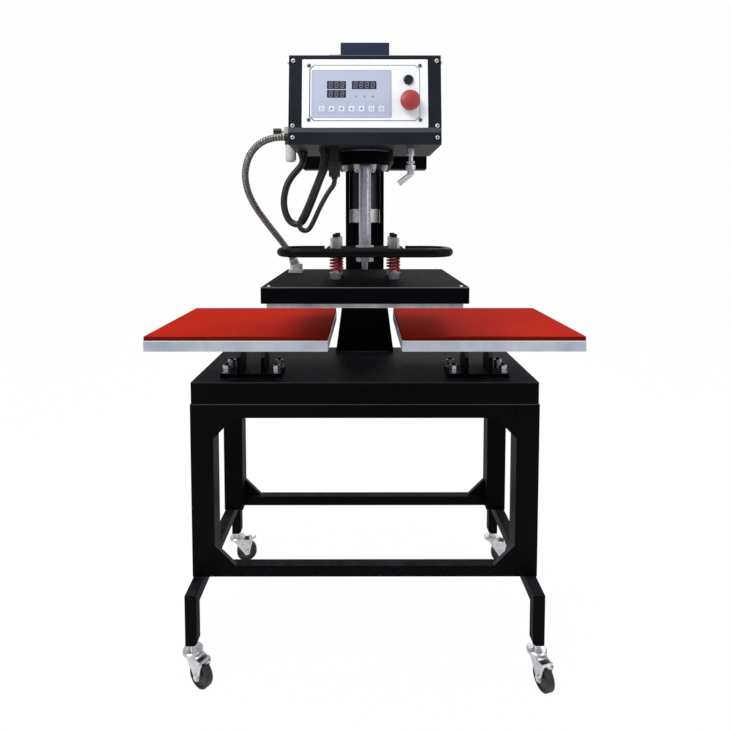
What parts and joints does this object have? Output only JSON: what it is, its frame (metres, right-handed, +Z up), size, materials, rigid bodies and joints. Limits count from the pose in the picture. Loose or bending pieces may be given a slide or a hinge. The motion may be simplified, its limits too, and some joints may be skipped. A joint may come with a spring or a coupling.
{
  "type": "dual station heat press",
  "caption": "Pneumatic heat press on a wheeled stand: a press head on a swing arm serves two side-by-side padded tables.",
  "frame": {"origin": "on the floor, under the middle of the press's box", "axes": "+X to the right seen from the front, +Y to the back, +Z up"},
  "size_m": [0.912, 0.6126, 1.343],
  "materials": {
    "black_paint": "satin black powder coat",
    "box_paint": "satin dark grey powder coat",
    "bright_zinc": "bright zinc plate",
    "ground_steel": "ground and chromed steel",
    "table_aluminium": "milled aluminium",
    "red_silicone": "soft matte silicone",
    "panel_white": "printed white panel",
    "keypad_grey": "membrane keypad",
    "button_red": "glossy red",
    "button_black": "glossy black",
    "hose_rubber": "black flexible hose",
    "conduit_steel": "ribbed flexible conduit",
    "tread_rubber": "dark caster tread",
    "spring_red": "red coated spring wire",
    "brass_fitting": "brass and push-in collar",
    "clear_filter": "light filter body and clear bowl",
    "black_plastic": "moulded black plastic"
  },
  "bodies": {
    "stand": {"front_frame": "black_paint", "rear_frame": "black_paint", "left_skid": "black_paint", "right_skid": "black_paint", "base_box": "black_paint", "left_table_bracket": "black_paint", "right_table_bracket": "black_paint", "bracket_bolts": "bright_zinc", "left_table_plate": "table_aluminium", "right_table_plate": "table_aluminium", "left_table_pad": "red_silicone", "right_table_pad": "red_silicone", "column": "black_paint", "swing_spindle": "bright_zinc", "thrust_washer": "bright_zinc", "caster_stems": "bright_zinc"},
    "arm": {"bearing_hub": "bright_zinc", "swing_sleeve": "black_paint", "swing_arm": "black_paint", "arm_housing": "black_paint", "swing_bolts": "bright_zinc"},
    "head": {"control_box": "box_paint", "front_panel": "panel_white", "keypad": "keypad_grey", "head_trunnion": "ground_steel", "head_retainer": "black_paint", "retainer_bolts": "bright_zinc", "cylinder_barrel": "table_aluminium", "cylinder_cap": "box_paint", "air_inlet": "brass_fitting", "box_glands": "bright_zinc", "cable_connector": "black_plastic", "air_filter": "clear_filter", "exhaust_valve": "bright_zinc", "platen_conduit": "conduit_steel", "air_hose": "hose_rubber", "signal_hose": "hose_rubber"},
    "ram": {"piston_rod": "ground_steel", "rod_fasteners": "bright_zinc", "press_plate": "black_paint", "ring_handle": "black_paint", "platen_springs": "spring_red"},
    "platen": {"platen_case": "black_paint", "heater_plate": "table_aluminium", "platen_studs": "bright_zinc", "conduit_fitting": "bright_zinc"},
    "start_button": {"start_button": "button_black"},
    "stop_button": {"stop_button": "button_red"},
    "caster_front_left": {"caster_fork_front_left": "bright_zinc"},
    "wheel_front_left": {"caster_wheel_front_left": "tread_rubber"},
    "lever_front_left": {"caster_lever_front_left": "bright_zinc"},
    "caster_front_right": {"caster_fork_front_right": "bright_zinc"},
    "wheel_front_right": {"caster_wheel_front_right": "tread_rubber"},
    "lever_front_right": {"caster_lever_front_right": "bright_zinc"},
    "caster_rear_left": {"caster_fork_rear_left": "bright_zinc"},
    "wheel_rear_left": {"caster_wheel_rear_left": "tread_rubber"},
    "lever_rear_left": {"caster_lever_rear_left": "bright_zinc"},
    "caster_rear_right": {"caster_fork_rear_right": "bright_zinc"},
    "wheel_rear_right": {"caster_wheel_rear_right": "tread_rubber"},
    "lever_rear_right": {"caster_lever_rear_right": "bright_zinc"}
  },
  "joints": [
    {"name": "swing", "type": "hinge", "parent": "stand", "child": "arm", "pos_m": [0, 0.21945, 1.013], "axis": [0, 0, 1], "range_deg": [-53.13, 53.13]},
    {"name": "head_turn", "type": "hinge", "parent": "arm", "child": "head", "pos_m": [0, -0.11305, 1.108], "axis": [0, 0, -1], "range_deg": [-53.13, 53.13]},
    {"name": "press", "type": "slide", "parent": "head", "child": "ram", "axis": [0, 0, -1], "range_m": [0, 0.077], "deforming": ["platen_conduit"]},
    {"name": "platen_float", "type": "slide", "parent": "ram", "child": "platen", "axis": [0, 0, 1], "range_m": [0, 0.004], "stiffness_N_per_m": 60000, "springref_m": -0.001, "deforming": ["platen_springs", "platen_conduit"]},
    {"name": "start_push", "type": "slide", "parent": "head", "child": "start_button", "axis": [0, 0.9895, -0.1448], "range_m": [0, 0.0025], "stiffness_N_per_m": 400, "springref_m": -0.002},
    {"name": "stop_push", "type": "slide", "parent": "head", "child": "stop_button", "axis": [0, 0.9895, -0.1448], "range_m": [0, 0.004], "stiffness_N_per_m": 1500, "springref_m": -0.002},
    {"name": "swivel_front_left", "type": "hinge", "parent": "stand", "child": "caster_front_left", "pos_m": [-0.368, -0.15555, 0.074], "axis": [0, 0, 1], "continuous": true},
    {"name": "roll_front_left", "type": "hinge", "parent": "caster_front_left", "child": "wheel_front_left", "pos_m": [-0.3467, -0.17046, 0.028], "axis": [0.5736, 0.8192, 0], "continuous": true},
    {"name": "brake_front_left", "type": "hinge", "parent": "caster_front_left", "child": "lever_front_left", "pos_m": [-0.33851, -0.1762, 0.06], "axis": [0.5736, 0.8192, 0], "range_deg": [0, 18]},
    {"name": "swivel_front_right", "type": "hinge", "parent": "stand", "child": "caster_front_right", "pos_m": [0.368, -0.15555, 0.074], "axis": [0, 0, 1], "continuous": true},
    {"name": "roll_front_right", "type": "hinge", "parent": "caster_front_right", "child": "wheel_front_right", "pos_m": [0.37603, -0.18028, 0.028], "axis": [0.9511, 0.309, 0], "continuous": true},
    {"name": "brake_front_right", "type": "hinge", "parent": "caster_front_right", "child": "lever_front_right", "pos_m": [0.37912, -0.18979, 0.06], "axis": [0.9511, 0.309, 0], "range_deg": [0, 18]},
    {"name": "swivel_rear_left", "type": "hinge", "parent": "stand", "child": "caster_rear_left", "pos_m": [-0.368, 0.28245, 0.074], "axis": [0, 0, 1], "continuous": true},
    {"name": "roll_rear_left", "type": "hinge", "parent": "caster_rear_left", "child": "wheel_rear_left", "pos_m": [-0.34277, 0.28874, 0.028], "axis": [-0.2419, 0.9703, 0], "continuous": true},
    {"name": "brake_rear_left", "type": "hinge", "parent": "caster_rear_left", "child": "lever_rear_left", "pos_m": [-0.33307, 0.29116, 0.06], "axis": [-0.2419, 0.9703, 0], "range_deg": [0, 18]},
    {"name": "swivel_rear_right", "type": "hinge", "parent": "stand", "child": "caster_rear_right", "pos_m": [0.368, 0.28245, 0.074], "axis": [0, 0, 1], "continuous": true},
    {"name": "roll_rear_right", "type": "hinge", "parent": "caster_rear_right", "child": "wheel_rear_right", "pos_m": [0.3936, 0.27794, 0.028], "axis": [0.1736, 0.9848, 0], "continuous": true},
    {"name": "brake_rear_right", "type": "hinge", "parent": "caster_rear_right", "child": "lever_rear_right", "pos_m": [0.40345, 0.2762, 0.06], "axis": [0.1736, 0.9848, 0], "range_deg": [0, 18]}
  ]
}
